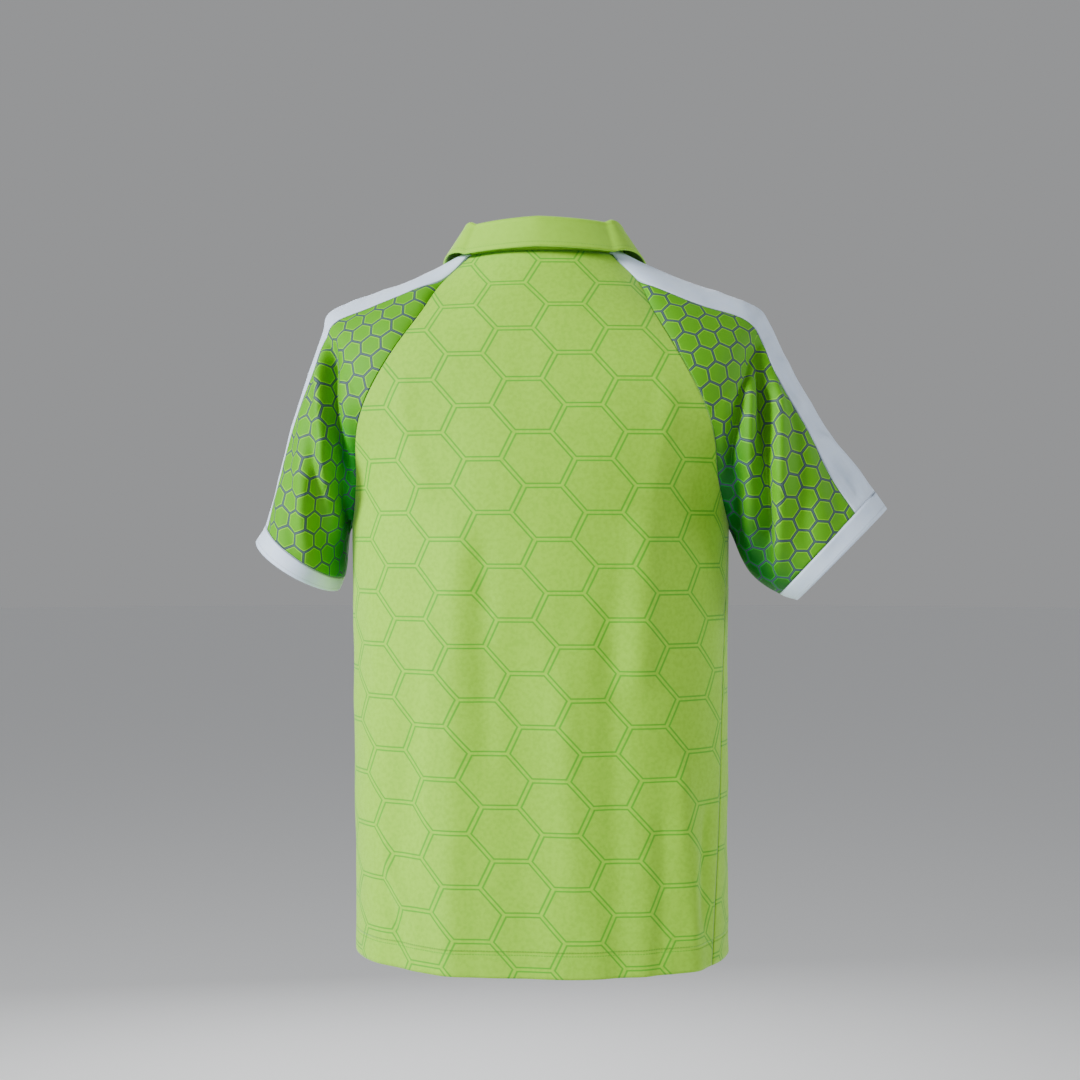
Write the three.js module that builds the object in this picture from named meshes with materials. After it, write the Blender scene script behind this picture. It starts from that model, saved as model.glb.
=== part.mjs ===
import * as THREE from "three";

// A football jersey worn and left hollow, in millimetres, +Z up, its front facing -Y and the
// wearer's left at +X. The origin is at the neck, where the wearer holds the jersey up.

// Cloth and seams
const WALL = 1.2;
const SEAM_GAP = 0.3;
const POINT_GAP = 0.9;
const COLLAR_WALL = 1.6;

// How far the stripe reaches behind and before the sleeve's top line
const STRIPE_BACK = 44;
const STRIPE_FRONT = 34;
const SEAM_FADE = 26;

// How fine each piece is divided
const BODY_COLUMNS = 20;
const BODY_ROWS = 14;
const RAGLAN_ROWS = 12;
const SLEEVE_ROWS = 4;
const CUFF_ROWS = 1;
const SLEEVE_COLUMNS = 8;
const STRIPE_COLUMNS = 4;
const FINE = 72;

// Width at which the back and front of a sleeve begin beside the stripe
const LEAST_WIDTH = 4;

// Rows of the tables that meet at the underarm, the cuff seam and the cuff's edge
const UNDERARM = 8;
const CUFF_SEAM = 10;
const CUFF_EDGE = 11;

const table = (columns, values) =>
  values.map((row) => Object.fromEntries(columns.map((name, i) => [name, row[i]])));

// Level rings of the body from the underarm to the hem: half its width, how far the back and front
// stand out, how square it is, where its midline lies and where the side seams lie, front to back
const RINGS = table(
  ["z", "half", "back", "front", "square", "mid", "seamLeft", "seamRight"],
  [
    [-262, 187, 117, 124, 2.2, 4, 9, 12],
    [-330, 186, 116, 123, 2.3, 4, 8, 26],
    [-430, 185, 114, 121, 2.4, 3.5, 8, 38],
    [-540, 184.5, 113, 120, 2.4, 3, 8, 44],
    [-620, 184, 115, 121, 2.4, 2.5, 8, 52],
    [-682, 184.5, 118, 123, 2.4, 2, 8, 60],
  ],
);
const HEM_DIP = { back: 6, front: 3 };

// Raglan seams from the neck down to the last row above the underarm, on the wearer's left
const BACK_RAGLAN = table(
  ["x", "y", "z"],
  [
    [67, 38, 1],
    [97, 46, -29],
    [112, 68, -58],
    [133, 88, -93],
    [151, 94, -125],
    [165, 88, -154],
    [173, 73, -182],
    [177, 48, -222],
  ],
);
const FRONT_RAGLAN = table(
  ["x", "y", "z"],
  [
    [70, -45, -22],
    [98, -58, -50],
    [116, -80, -78],
    [134, -96, -108],
    [150, -100, -137],
    [163, -94, -164],
    [172, -78, -190],
    [178, -50, -226],
  ],
);

// Middle of the back and of the front beside each raglan row: height, depth and squareness
const BACK_MIDDLE = table(
  ["z", "depth", "square"],
  [
    [1, 62, 2],
    [-29, 76, 2.1],
    [-58, 91, 2.15],
    [-93, 103, 2.2],
    [-125, 110, 2.25],
    [-154, 114, 2.3],
    [-182, 116, 2.28],
    [-222, 117, 2.25],
    [-262, 117, 2.2],
  ],
);
const FRONT_MIDDLE = table(
  ["z", "depth", "square"],
  [
    [-86, 90, 2],
    [-108, 104, 2.1],
    [-128, 112, 2.15],
    [-150, 118, 2.2],
    [-172, 122, 2.25],
    [-194, 124, 2.3],
    [-217, 125, 2.28],
    [-241, 125, 2.25],
    [-262, 124, 2.2],
  ],
);

// Top line of each sleeve from the neck over the shoulder point to the cuff's edge, with half the
// depth of the sleeve there, front to back, how far its back hangs below its front, how square its
// section is above and below, and how far the stripe is turned to the back
const TOP_COLUMNS = ["x", "y", "z", "depth", "droop", "square", "under", "turn"];
const TOP_LINE = {
  left: table(TOP_COLUMNS, [
    [82, -2, -1, 42, 0, 2, 2, 0],
    [106, -3, -8, 52, 0, 1.7, 2, 12],
    [136, -4, -19, 74, 0, 1.55, 2, 14],
    [171, -4, -31, 92, 0, 1.5, 2, 12],
    [215, -4, -46, 97, 0, 1.5, 1.9, 8],
    [223, -3, -68, 92, 0, 1.6, 1.7, 4],
    [232, -2, -101, 88, 0, 1.9, 1.5, 16],
    [245, -1, -141, 84, 0, 2, 1.4, 11],
    [256, 0, -184, 80, 0, 2, 1.4, 4],
    [267, 0, -222, 74, 3, 2, 1.6, -2],
    [279, 0, -259, 66, 5, 2, 2, -2],
    [290, 0, -277, 64, 6, 2, 2, -2],
  ]),
  right: table(TOP_COLUMNS, [
    [-82, -2, -1, 42, 0, 2, 2, 0],
    [-106, -3, -9, 52, 0, 1.7, 2, 14],
    [-136, -4, -20, 74, 0, 1.55, 2, 21],
    [-171, -4, -33, 92, 0, 1.5, 2, 20],
    [-211, -4, -49, 96, 0, 1.5, 1.9, 8],
    [-224, -3, -67, 90, 0, 1.6, 1.7, 3],
    [-236, -2, -94, 82, 0, 1.8, 1.5, 10],
    [-253, -1, -126, 74, 0, 2, 1.4, 12],
    [-276, 0, -165, 66, 0, 2, 1.4, 12],
    [-300, 0, -200, 56, -1, 2, 1.6, 12],
    [-325, 0, -231, 47, -2, 2, 2, 10],
    [-337, 0, -248, 45, -2, 2, 2, 10],
  ]),
};

// Lower side of each sleeve from the underarm to the cuff's edge
const UNDER_LINE = {
  left: table(
    ["x", "y", "z"],
    [
      [198, 7, -287],
      [204, 5, -315],
      [209, 4, -328],
    ],
  ),
  right: table(
    ["x", "y", "z"],
    [
      [-206, 7, -310],
      [-234, 5, -330],
      [-251, 4, -336],
    ],
  ),
};

// Collar sections from the middle of the back to the front opening: place along the neckline,
// height of the stand, how far it leans out, how far the fall reaches out and drops, and how far
// its edge is swung back from the opening
const COLLAR_SECTIONS = table(
  ["place", "stand", "lean", "reach", "drop", "swing"],
  [
    [0, 30, -6, 17, 28, 0],
    [0.2, 28, -9, 20, 28, 0],
    [0.4, 26, -7, 25, 29, 0],
    [0.6, 25, -4, 28, 32, 2],
    [0.8, 15, -1, 33, 42, 14],
    [1, 7, 2, 40, 34, 48],
  ],
);
const FOLD_RADIUS = 2.6;
const STAND_STEPS = 3;
const FOLD_STEPS = 4;
const FALL_STEPS = 3;
const COLLAR_END = 2;
const COLLAR_STEP = 0.02;
const COLLAR_LIFT = 0.45;

// Drape folds as they are seen from behind or from the front: which face (1 back, -1 front), the
// upper end, the lower end, half the width, and the height, below zero for a trough
const BODY_FOLDS = table(
  ["face", "x", "z", "lowX", "lowZ", "width", "height"],
  [
    [1, 70, -230, 78, -690, 20, 3.2],
    [1, -104, -230, -96, -440, 17, 2.8],
    [1, -76, -300, -84, -690, 17, -2.6],
    [1, 20, -330, 8, -690, 24, -2],
    [1, 120, -420, 132, -690, 16, -2.4],
    [1, -138, -470, -152, -690, 13, 3],
    [-1, -64, -190, -92, -690, 22, 3.6],
    [-1, 78, -190, 98, -690, 20, 3.2],
    [-1, 4, -260, 16, -690, 24, -3],
    [-1, -140, -300, -146, -690, 15, -2.4],
    [-1, 146, -340, 140, -690, 15, 2.6],
  ],
);
const SLEEVE_FOLDS = {
  left: table(
    ["face", "x", "z", "lowX", "lowZ", "width", "height"],
    [
      [1, 203, -80, 184, -235, 9, -9],
      [1, 213, -84, 203, -270, 9, 5],
      [1, 240, -150, 234, -300, 10, -3],
      [-1, 204, -84, 188, -225, 11, -8],
      [-1, 222, -100, 212, -270, 11, 4],
    ],
  ),
  right: table(
    ["face", "x", "z", "lowX", "lowZ", "width", "height"],
    [
      [1, -214, -84, -216, -300, 9, -8],
      [1, -227, -84, -237, -322, 9, 6],
      [1, -196, -116, -176, -210, 9, -4],
      [-1, -206, -84, -214, -300, 11, -6],
      [-1, -226, -96, -246, -300, 12, 4],
    ],
  ),
};
const LARGEST_OF_ALL = 12;

// How folds run out: share of their length at each end, share of a row beside the side seam, and
// lengths beside the sleeve's ridge and, in places, before its cuff
const FOLD_ENDS = 0.22;
const SIDE_FADE = 0.12;
const TOP_FADE = 20;
const CUFF_FADE = { from: 0.8, to: 0.6 };

// How a row rises from its middle to the raglan seam, and the rows over which the front takes that
const BACK_BEND = 2;
const FRONT_BEND_ROWS = 3;

const SIGN = { left: 1, right: -1 };
const LIME = { color: 0x9fd257, roughness: 0.72, metalness: 0 };
const SLEEVE_GREEN = { color: 0x58b23c, roughness: 0.7, metalness: 0 };
const WHITE = { color: 0xe6ebf2, roughness: 0.68, metalness: 0 };
const COLLAR_LIME = { color: 0xa6d86a, roughness: 0.74, metalness: 0 };

const point = (p) => new THREE.Vector3(p.x, p.y, p.z);
const clamp = (value, low, high) => Math.min(high, Math.max(low, value));
const mix = (a, b, t) => a + (b - a) * t;
const smooth = (t) => {
  const s = clamp(t, 0, 1);
  return s * s * (3 - 2 * s);
};

// Value of every column of a table at a place between its rows, on a smooth curve
function along(rows, place) {
  const last = rows.length - 1;
  const i = clamp(Math.floor(place), 0, last - 1);
  const t = place - i;
  const before = rows[Math.max(i - 1, 0)];
  const after = rows[Math.min(i + 2, last)];
  const result = {};
  for (const name of Object.keys(rows[0])) {
    const a = rows[i][name];
    const b = rows[i + 1][name];
    const from = i > 0 ? (b - before[name]) / 2 : b - a;
    const to = i + 2 <= last ? (after[name] - a) / 2 : b - a;
    const cubic = 2 * a - 2 * b + from + to;
    const square = -3 * a + 3 * b - 2 * from - to;
    result[name] = ((cubic * t + square) * t + from) * t + a;
  }
  return result;
}

// A line of points divided evenly by its own length
function divided(points) {
  const lengths = [0];
  for (let i = 1; i < points.length; i += 1) {
    lengths.push(lengths[i - 1] + points[i].distanceTo(points[i - 1]));
  }
  const total = lengths[lengths.length - 1];
  const at = (length) => {
    const wanted = clamp(length, 0, total);
    let i = 1;
    while (i < points.length - 1 && lengths[i] < wanted) i += 1;
    const step = lengths[i] - lengths[i - 1];
    const t = step > 0 ? (wanted - lengths[i - 1]) / step : 0;
    return points[i - 1].clone().lerp(points[i], t);
  };
  return { total, lengths, at };
}

// Height of the folds at a point seen from behind or from the front
function foldHeight(folds, face, x, z) {
  let height = 0;
  for (const fold of folds) {
    if (fold.face !== face) continue;
    const run = new THREE.Vector2(fold.lowX - fold.x, fold.lowZ - fold.z);
    const from = new THREE.Vector2(x - fold.x, z - fold.z);
    const t = from.dot(run) / run.lengthSq();
    const away = Math.abs(from.cross(run)) / run.length();
    const toHem = fold.lowZ < RINGS[RINGS.length - 1].z;
    const ends = smooth(t / FOLD_ENDS) * (toHem ? 1 : smooth((1 - t) / FOLD_ENDS));
    height += fold.height * Math.exp(-((away / fold.width) ** 2)) * ends;
  }
  return clamp(height, -LARGEST_OF_ALL, LARGEST_OF_ALL);
}

// Point of a body ring by its angle, from -90 degrees at the front to 90 degrees at the back
function ringPoint(ring, angle, sign) {
  const power = 2 / ring.square;
  const depth = angle > 0 ? ring.back : -ring.front;
  const x = ring.half * Math.cos(angle) ** power;
  const y = depth * Math.abs(Math.sin(angle)) ** power;
  return new THREE.Vector3(ring.mid + sign * x, y, ring.z);
}

const ringAngle = (ring, y) => {
  const depth = y > 0 ? ring.back : ring.front;
  return Math.sign(y) * Math.asin(clamp(Math.abs(y) / depth, 0, 1) ** (ring.square / 2));
};

const MID_AT_UNDERARM = RINGS[0].mid;
const midAt = (place) => (MID_AT_UNDERARM * clamp(place, 0, UNDERARM)) / UNDERARM;

function underarmPoint(side) {
  const ring = RINGS[0];
  const y = side === "left" ? ring.seamLeft : ring.seamRight;
  return ringPoint(ring, ringAngle(ring, y), SIGN[side]);
}

// Point of a raglan seam on either side at a place between the neck and the underarm
function raglanPoint(seam, side, place) {
  const under = underarmPoint(side);
  const rows = [
    ...seam.map((row, i) => ({ x: SIGN[side] * row.x + midAt(i), y: row.y, z: row.z })),
    { x: under.x, y: under.y, z: under.z },
  ];
  return point(along(rows, place));
}

// Half of a row of the body, from its middle to the seam on one side
function halfRow(face, side, place) {
  const sign = SIGN[side];
  const middle = (Math.PI / 2) * face;
  if (place >= UNDERARM) {
    const ring = along(RINGS, place - UNDERARM);
    const y = side === "left" ? ring.seamLeft : ring.seamRight;
    const end = ringAngle(ring, y);
    const low = clamp((place - UNDERARM) / (RINGS.length - 1), 0, 1);
    const points = [];
    for (let i = 0; i <= FINE; i += 1) {
      const angle = mix(middle, end, i / FINE);
      const p = ringPoint(ring, angle, sign);
      const dip = angle > 0 ? HEM_DIP.back : HEM_DIP.front;
      p.z -= dip * low ** 3 * Math.abs(Math.sin(angle));
      points.push(p);
    }
    return divided(points);
  }
  const seam = raglanPoint(face > 0 ? BACK_RAGLAN : FRONT_RAGLAN, side, place);
  const back = along(BACK_MIDDLE, place);
  const front = along(FRONT_MIDDLE, place);
  const own = face > 0 ? back : front;
  const mid = midAt(place);
  const ring = { back: back.depth, front: front.depth, square: own.square, mid, z: own.z, half: 1 };
  const end = ringAngle(ring, seam.y);
  ring.half = Math.abs(seam.x - mid) / Math.cos(end) ** (2 / ring.square);
  const points = [];
  for (let i = 0; i <= FINE; i += 1) points.push(ringPoint(ring, mix(middle, end, i / FINE), sign));
  const level = divided(points);
  const bend = face > 0 ? BACK_BEND : 1 + smooth(place / FRONT_BEND_ROWS);
  for (const [i, p] of points.entries()) {
    p.z = mix(own.z, seam.z, (level.lengths[i] / level.total) ** bend);
  }
  return divided(points);
}

// Point of the body: across runs from -1 at the right seam to 1 at the left seam
function bodyPoint(face, across, place) {
  const side = across > 0 ? "left" : "right";
  const row = halfRow(face, side, place);
  const far = Math.abs(across);
  const p = row.at(row.total * far);
  const toSeam = place < UNDERARM ? smooth((row.total * (1 - far)) / SEAM_FADE) : 1;
  const toSide = smooth((1 - far) / SIDE_FADE);
  const height = foldHeight(BODY_FOLDS, face, p.x, p.z) * toSeam * toSide;
  const out = new THREE.Vector3(p.x / RINGS[0].half ** 2, p.y / RINGS[0].back ** 2, 0).normalize();
  return p.addScaledVector(out, height);
}

// A row of a sleeve at a place between the neck and the cuff's edge: a bowed line over the top
// from the back seam to the front seam, and below the underarm a closed ring
function sleeveRow(side, place) {
  const top = along(TOP_LINE[side], place);
  const peak = point(top);
  let back;
  let front;
  if (place < UNDERARM) {
    back = raglanPoint(BACK_RAGLAN, side, place);
    front = raglanPoint(FRONT_RAGLAN, side, place);
  } else {
    const under = underarmPoint(side);
    const rows = [{ x: under.x, y: under.y, z: under.z }, ...UNDER_LINE[side]];
    back = point(along(rows, place - UNDERARM));
    front = back.clone();
  }
  const base = back.clone().add(front).multiplyScalar(0.5);
  const span = back.clone().sub(front);
  const halfSpan = span.length() / 2;
  const depth = Math.max(top.depth, halfSpan);
  const open = Math.acos(clamp(halfSpan / depth, 0, 1) ** (top.under / 2));
  const bow = (share, square) => Math.sign(share) * Math.abs(share) ** (2 / square);
  const up = peak.clone().sub(base);
  const reach = up.length() / (1 + bow(Math.sin(open), top.under));
  up.normalize();
  const level = new THREE.Vector3(0, depth, -top.droop).normalize();
  const across = halfSpan > 1 ? span.normalize() : level;
  const centre = peak.clone().addScaledVector(up, -reach);
  const points = [];
  for (let i = 0; i <= 2 * FINE; i += 1) {
    const angle = mix(-open, Math.PI + open, i / (2 * FINE));
    const square = Math.sin(angle) > 0 ? top.square : top.under;
    const p = centre.clone();
    p.addScaledVector(across, depth * bow(Math.cos(angle), square));
    p.addScaledVector(up, reach * bow(Math.sin(angle), square));
    points.push(p);
  }
  const line = divided(points);
  const ridge = divided(points.slice(0, FINE + 1)).total;
  return { ...line, centre, ridge, turn: top.turn, atNeck: place === 0 };
}

// Lengths along a sleeve row where its pieces meet: seam, stripe's back and front edges, seam
function sleeveParts(row) {
  if (row.atNeck) return [0, 0, row.total, row.total];
  const back = row.ridge - row.turn - STRIPE_BACK;
  const front = row.ridge + STRIPE_FRONT;
  return [
    0,
    back > LEAST_WIDTH ? back : 0,
    row.total - front > LEAST_WIDTH ? front : row.total,
    row.total,
  ];
}

function sleevePoint(side, row, length, place) {
  const p = row.at(length);
  const face = length < row.ridge ? 1 : -1;
  const seamAway = Math.min(length, row.total - length);
  const toSeam = smooth(seamAway / SEAM_FADE);
  const atTop = smooth(Math.abs(length - row.ridge) / TOP_FADE);
  const atCuff = smooth((CUFF_SEAM + CUFF_FADE.to - place) / (CUFF_FADE.from + CUFF_FADE.to));
  const height = foldHeight(SLEEVE_FOLDS[side], face, p.x, p.z) * toSeam * atTop * atCuff;
  const out = p.clone().sub(row.centre).normalize();
  return p.addScaledVector(out, height);
}

const steps = (from, to, count) => Array.from({ length: count + 1 }, (_, i) => mix(from, to, i / count));
const RAGLAN_PLACES = steps(0, UNDERARM, RAGLAN_ROWS);
const SLEEVE_PLACES = [...RAGLAN_PLACES, ...steps(UNDERARM, CUFF_SEAM, SLEEVE_ROWS).slice(1)];
const CUFF_PLACES = steps(CUFF_SEAM, CUFF_EDGE, CUFF_ROWS);
const BODY_PLACES = [
  ...RAGLAN_PLACES,
  ...steps(UNDERARM, UNDERARM + RINGS.length - 1, BODY_ROWS).slice(1),
];

// Grid of one body panel, rows from the neck to the hem
function bodyGrid(face) {
  const across = steps(-1, 1, BODY_COLUMNS);
  return BODY_PLACES.map((place) => across.map((a) => bodyPoint(face, a, place)));
}

// Grid of one part of a sleeve: 0 its back, 1 the shoulder stripe, 2 its front. The back and
// front start in a point, at the last row where the stripe still fills the sleeve.
function sleeveGrid(side, part, columns) {
  const places = part === 1 ? SLEEVE_PLACES : sleevePlacesFrom(side, part);
  return places.map((place) => {
    const row = sleeveRow(side, place);
    const edges = sleeveParts(row);
    const lengths = steps(edges[part], edges[part + 1], columns);
    return lengths.map((length) => sleevePoint(side, row, length, place));
  });
}

function sleevePlacesFrom(side, part) {
  const width = (place) => {
    const edges = sleeveParts(sleeveRow(side, place));
    return edges[part + 1] - edges[part];
  };
  const first = SLEEVE_PLACES.findIndex((place) => width(place) > 0);
  return SLEEVE_PLACES.slice(Math.max(first - 1, 0));
}

// Grid of a cuff: its columns are those of the sleeve's back, stripe and front together
function cuffGrid(side) {
  return CUFF_PLACES.map((place) => {
    const row = sleeveRow(side, place);
    const edges = sleeveParts(row);
    const lengths = [
      ...steps(edges[0], edges[1], SLEEVE_COLUMNS),
      ...steps(edges[1], edges[2], STRIPE_COLUMNS).slice(1),
      ...steps(edges[2], edges[3], SLEEVE_COLUMNS).slice(1),
    ];
    return lengths.map((length) => sleevePoint(side, row, length, place));
  });
}

// The neckline on the wearer's left, from the middle of the back to the middle of the front
function neckline() {
  const back = halfRow(1, "left", 0);
  const sleeve = sleeveRow("left", 0);
  const front = halfRow(-1, "left", 0);
  const points = [];
  for (let i = 0; i <= FINE; i += 1) points.push(back.at((back.total * i) / FINE));
  for (let i = 1; i <= FINE; i += 1) points.push(sleeve.at((sleeve.total * i) / FINE));
  for (let i = 1; i <= FINE; i += 1) points.push(front.at(front.total * (1 - i / FINE)));
  const line = divided(points);
  const places = [
    ...steps(0, back.total, BODY_COLUMNS / 2),
    ...steps(back.total, back.total + sleeve.total, STRIPE_COLUMNS).slice(1),
    ...steps(back.total + sleeve.total, line.total, BODY_COLUMNS / 2).slice(1),
  ].map((length) => length / line.total);
  return { ...line, places };
}

// Section of the collar on the wearer's left: up the stand, round the fold and down the fall
function collarSection(line, place) {
  const count = COLLAR_SECTIONS.length - 1;
  const size = along(COLLAR_SECTIONS, place * count);
  const seam = line.at(Math.min(line.total * place, line.total - COLLAR_END));
  const ahead = line.at(line.total * Math.min(place + COLLAR_STEP, 1));
  const behind = line.at(line.total * Math.max(place - COLLAR_STEP, 0));
  const run = ahead.sub(behind);
  const out = new THREE.Vector3(-run.y, run.x, 0);
  if (out.lengthSq() > 0) out.normalize();
  const back = new THREE.Vector3(-run.x, -run.y, 0).normalize();
  const foot = seam.clone().add(new THREE.Vector3(0, 0, COLLAR_LIFT));
  const crest = foot.clone().addScaledVector(out, size.lean);
  crest.z += size.stand;
  const edge = crest.clone().addScaledVector(out, size.reach).addScaledVector(back, size.swing);
  edge.z -= size.drop;
  const points = [];
  for (let i = 0; i < STAND_STEPS; i += 1) points.push(foot.clone().lerp(crest, i / STAND_STEPS));
  for (let i = 0; i <= FOLD_STEPS; i += 1) {
    const angle = Math.PI * (1 - i / FOLD_STEPS);
    const p = crest.clone().addScaledVector(out, FOLD_RADIUS * (1 + Math.cos(angle)));
    p.z += FOLD_RADIUS * Math.sin(angle);
    points.push(p);
  }
  const turned = points[points.length - 1];
  for (let i = 1; i <= FALL_STEPS; i += 1) points.push(turned.clone().lerp(edge, i / FALL_STEPS));
  return points;
}

const mirrored = (p) => new THREE.Vector3(-p.x, p.y, p.z);

function collarGrid() {
  const line = neckline();
  const left = line.places.map((place) => collarSection(line, place));
  const right = left.slice(1).map((section) => section.map(mirrored)).reverse();
  return [...right, ...left];
}

const keyOf = (p) => [p.x, p.y, p.z].map((v) => Math.round(v * 100) + 0).join(",");

// Faces of a grid, as pairs of triangles between neighbouring rows and columns
function gridFaces(rows, columns) {
  const faces = [];
  for (let i = 0; i < rows - 1; i += 1) {
    for (let j = 0; j < columns - 1; j += 1) {
      const a = i * columns + j;
      const b = a + 1;
      const c = a + columns;
      const d = c + 1;
      faces.push([a, c, b], [b, c, d]);
    }
  }
  return faces;
}

// Outward directions at the points of one piece
function ownNormals(piece) {
  const sums = new Map();
  const flat = piece.grid.flat();
  for (const face of gridFaces(piece.grid.length, piece.grid[0].length)) {
    const [a, b, c] = face.map((i) => flat[i]);
    const normal = b.clone().sub(a).cross(c.clone().sub(a));
    if (piece.flip) normal.negate();
    for (const key of [a, b, c].map(keyOf)) {
      if (!sums.has(key)) sums.set(key, new THREE.Vector3());
      sums.get(key).add(normal);
    }
  }
  return sums;
}

// Outward directions of all pieces, each piece counting alike where they meet
function sharedNormals(pieces) {
  const shared = new Map();
  for (const piece of pieces) {
    for (const [key, normal] of ownNormals(piece)) {
      if (!shared.has(key)) shared.set(key, new THREE.Vector3());
      shared.get(key).add(normal.normalize());
    }
  }
  for (const normal of shared.values()) normal.normalize();
  return shared;
}

// How far a point of a sewn edge is drawn back from its seam
function drawnBack({ grid, sewn, ring }, normals, i, j) {
  const rows = grid.length;
  const columns = grid[0].length;
  const here = grid[i][j];
  const normal = normals.get(keyOf(here));
  const shift = new THREE.Vector3();
  const pull = (before, after, inside) => {
    const run = after.clone().sub(before);
    const inward = inside.clone().sub(here);
    const away = normal.clone().cross(run);
    if (away.lengthSq() < 1e-6) away.copy(inward);
    if (away.dot(inward) < 0) away.negate();
    shift.addScaledVector(away.normalize(), SEAM_GAP / 2);
  };
  const up = grid[Math.max(i - 1, 0)][j];
  const down = grid[Math.min(i + 1, rows - 1)][j];
  const left = grid[i][ring && j === 0 ? columns - 2 : Math.max(j - 1, 0)];
  const right = grid[i][ring && j === columns - 1 ? 1 : Math.min(j + 1, columns - 1)];
  const pointed = i === 0 && grid[0][0].distanceTo(grid[0][1]) < 1e-3;
  if (pointed) {
    const middle = grid[1][Math.floor(columns / 2)];
    return middle.clone().sub(here).setLength(POINT_GAP);
  }
  if (j === 0 && sewn.left) pull(up, down, grid[i][1]);
  if (j === columns - 1 && sewn.right) pull(up, down, grid[i][columns - 2]);
  if (i === 0 && sewn.top) pull(left, right, grid[1][j]);
  if (i === rows - 1 && sewn.bottom) pull(left, right, grid[rows - 2][j]);
  return shift;
}

// A closed wall on a grid: its outer points, its inner points and the rims between them
function wall(piece, normals) {
  const { grid, flip, thickness, ring } = piece;
  const rows = grid.length;
  const columns = grid[0].length;
  const outer = [];
  const inner = [];
  for (let i = 0; i < rows; i += 1) {
    for (let j = 0; j < columns; j += 1) {
      const normal = normals.get(keyOf(grid[i][j]));
      const p = grid[i][j].clone().add(drawnBack(piece, normals, i, j));
      outer.push(p);
      inner.push(p.clone().addScaledVector(normal, -thickness));
    }
  }
  const points = [...outer, ...inner];
  const index = new Map();
  const same = points.map((p, i) => {
    const key = keyOf(p) + (i < outer.length ? "o" : "i");
    if (!index.has(key)) index.set(key, i);
    return index.get(key);
  });
  const shift = outer.length;
  const faces = [];
  for (const [a, b, c] of gridFaces(rows, columns)) {
    faces.push([a, b, c], [a + shift, c + shift, b + shift]);
  }
  const rim = (a, b) => faces.push([a, b, b + shift], [a, b + shift, a + shift]);
  const backRim = (a, b) => faces.push([b, a + shift, a], [b, b + shift, a + shift]);
  for (let j = 0; j < columns - 1; j += 1) {
    rim(j, j + 1);
    backRim((rows - 1) * columns + j + 1, (rows - 1) * columns + j);
  }
  if (!ring) {
    for (let i = 0; i < rows - 1; i += 1) {
      rim((i + 1) * columns, i * columns);
      backRim(i * columns + columns - 1, (i + 1) * columns + columns - 1);
    }
  }
  const kept = faces
    .map((face) => face.map((i) => same[i]))
    .filter(([a, b, c]) => a !== b && b !== c && c !== a)
    .map(([a, b, c]) => (flip ? [a, c, b] : [a, b, c]));
  const geometry = new THREE.BufferGeometry();
  geometry.setAttribute(
    "position",
    new THREE.Float32BufferAttribute(points.flatMap((p) => [p.x, p.y, p.z]), 3),
  );
  geometry.setIndex(kept.flat());
  geometry.computeVertexNormals();
  return geometry;
}

const ALL_SEWN = { left: true, right: true, top: true, bottom: true };
const BODY_SEWN = { left: true, right: true, top: true, bottom: false };
const CUFF_SEWN = { left: false, right: false, top: true, bottom: false };
const FREE = { left: false, right: false, top: false, bottom: false };

const shirt = [
  { name: "back", grid: bodyGrid(1), flip: true, sewn: BODY_SEWN, look: LIME },
  { name: "front", grid: bodyGrid(-1), flip: false, sewn: BODY_SEWN, look: LIME },
];
for (const side of ["left", "right"]) {
  const flip = side === "left";
  const back = sleeveGrid(side, 0, SLEEVE_COLUMNS);
  const stripe = sleeveGrid(side, 1, STRIPE_COLUMNS);
  const front = sleeveGrid(side, 2, SLEEVE_COLUMNS);
  const cuff = cuffGrid(side);
  shirt.push(
    { name: `sleeve_back_${side}`, grid: back, flip, sewn: ALL_SEWN, look: SLEEVE_GREEN },
    { name: `shoulder_stripe_${side}`, grid: stripe, flip, sewn: ALL_SEWN, look: WHITE },
    { name: `sleeve_front_${side}`, grid: front, flip, sewn: ALL_SEWN, look: SLEEVE_GREEN },
    { name: `cuff_${side}`, grid: cuff, flip, sewn: CUFF_SEWN, look: WHITE, ring: true },
  );
}
const collar = { name: "collar", grid: collarGrid(), flip: false, sewn: FREE, look: COLLAR_LIME };

const jersey = new THREE.Group();
jersey.name = "jersey";
const shirtNormals = sharedNormals(shirt);
const collarNormals = sharedNormals([collar]);
for (const piece of [...shirt, collar]) {
  const isCollar = piece === collar;
  const thickness = isCollar ? COLLAR_WALL : WALL;
  const geometry = wall({ ...piece, thickness }, isCollar ? collarNormals : shirtNormals);
  const mesh = new THREE.Mesh(geometry, new THREE.MeshStandardMaterial(piece.look));
  mesh.name = piece.name;
  jersey.add(mesh);
}

export default jersey;
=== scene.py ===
import math
from bisect import bisect_left

import bmesh
import bpy
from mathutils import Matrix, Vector, noise


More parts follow.
